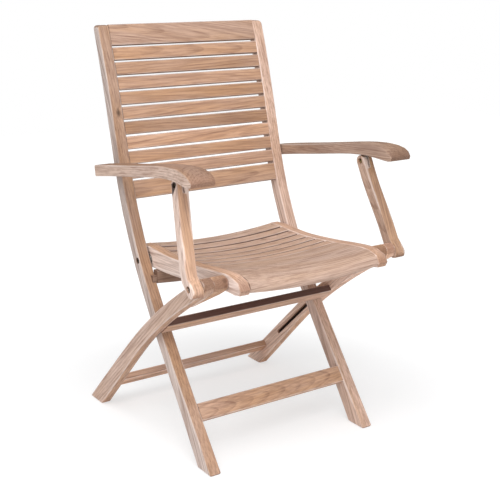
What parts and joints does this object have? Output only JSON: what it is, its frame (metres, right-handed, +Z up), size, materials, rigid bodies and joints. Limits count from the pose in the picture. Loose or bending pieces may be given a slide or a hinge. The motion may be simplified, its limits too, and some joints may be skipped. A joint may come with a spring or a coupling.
{
  "type": "folding teak armchair",
  "caption": "Folding wooden garden armchair: a curved slatted back, a dished slatted seat, arms on leaning struts and rear legs that slide in grooves as it folds flat.",
  "frame": {"origin": "middle of the chair's footprint on the floor, with the chair open", "axes": "+Z up, -Y the way the sitter faces, +X towards the sitter's left"},
  "size_m": [0.5666, 0.615, 0.9316],
  "materials": {
    "teak": "sanded, unoiled",
    "teak_boards": "sanded, unoiled",
    "steel": "satin"
  },
  "bodies": {
    "back_frame": {"stile_left": "teak", "stile_right": "teak", "bottom_rail": "teak", "top_rail": "teak", "back_slat_1": "teak_boards", "back_slat_2": "teak_boards", "back_slat_3": "teak_boards", "back_slat_4": "teak_boards", "back_slat_5": "teak_boards", "back_slat_6": "teak_boards", "back_slat_7": "teak_boards", "back_slat_8": "teak_boards", "back_slat_9": "teak_boards", "front_stretcher": "teak", "seat_rest_rail": "teak_boards", "seat_pivot_bolt_left": "steel", "seat_pivot_bolt_right": "steel", "seat_pivot_nut_left": "steel", "seat_pivot_nut_right": "steel", "seat_pivot_washer_left": "steel", "seat_pivot_washer_right": "steel", "arm_pivot_washer_left": "steel", "arm_pivot_washer_right": "steel", "groove_pin_left": "steel", "groove_pin_right": "steel"},
    "seat": {"seat_rail_left": "teak", "seat_rail_right": "teak", "seat_rear_slat": "teak_boards", "seat_front_board": "teak", "seat_slat_1": "teak_boards", "seat_slat_2": "teak_boards", "seat_slat_3": "teak_boards", "seat_slat_4": "teak_boards", "seat_slat_5": "teak_boards", "seat_slat_6": "teak_boards", "leg_pivot_bolt_left": "steel", "leg_pivot_bolt_right": "steel", "leg_pivot_nut_left": "steel", "leg_pivot_nut_right": "steel"},
    "rear_legs": {"rear_leg_left": "teak", "rear_leg_right": "teak", "leg_spacer_left": "teak_boards", "leg_spacer_right": "teak_boards", "middle_stretcher": "teak", "rear_stretcher": "teak"},
    "groove_rollers": {"groove_roller_left": "steel", "groove_roller_right": "steel"},
    "arm_left": {"arm_left": "teak", "arm_hinge_plate_left": "steel", "arm_pivot_bolt_left": "steel"},
    "strut_left": {"strut_left": "teak", "strut_top_bolt_left": "steel", "strut_top_nut_left": "steel"},
    "arm_right": {"arm_right": "teak", "arm_hinge_plate_right": "steel", "arm_pivot_bolt_right": "steel"},
    "strut_right": {"strut_right": "teak", "strut_top_bolt_right": "steel", "strut_top_nut_right": "steel"}
  },
  "joints": [
    {"name": "seat_fold", "type": "hinge", "parent": "back_frame", "child": "seat", "pos_m": [0, 0.07264, 0.41152], "axis": [-1, 0, 0], "range_deg": [0, 85]},
    {"name": "rear_leg_fold", "type": "hinge", "parent": "seat", "child": "rear_legs", "pos_m": [0, -0.24935, 0.43654], "axis": [1, 0, 0], "range_deg": [0, 23]},
    {"name": "groove_roller_slide", "type": "slide", "parent": "rear_legs", "child": "groove_rollers", "axis": [0, 0.7418, -0.6706], "range_m": [0, 0.181]},
    {"name": "left_arm_fold", "type": "hinge", "parent": "back_frame", "child": "arm_left", "pos_m": [0, 0.16165, 0.60496], "axis": [-1, 0, 0], "range_deg": [0, 85]},
    {"name": "left_strut_fold", "type": "hinge", "parent": "arm_left", "child": "strut_left", "pos_m": [0, -0.16033, 0.62998], "axis": [1, 0, 0], "range_deg": [0, 85]},
    {"name": "right_arm_fold", "type": "hinge", "parent": "back_frame", "child": "arm_right", "pos_m": [0, 0.16165, 0.60496], "axis": [-1, 0, 0], "range_deg": [0, 85]},
    {"name": "right_strut_fold", "type": "hinge", "parent": "arm_right", "child": "strut_right", "pos_m": [0, -0.16033, 0.62998], "axis": [1, 0, 0], "range_deg": [0, 85]}
  ],
  "couplings": [
    {"joint": "rear_leg_fold", "follows": "seat_fold", "ratio": 0.26952},
    {"joint": "groove_roller_slide", "follows": "seat_fold", "m_per_rad": 0.12159},
    {"joint": "left_arm_fold", "follows": "seat_fold", "ratio": 1},
    {"joint": "left_strut_fold", "follows": "seat_fold", "ratio": 1},
    {"joint": "right_arm_fold", "follows": "seat_fold", "ratio": 1},
    {"joint": "right_strut_fold", "follows": "seat_fold", "ratio": 1}
  ]
}
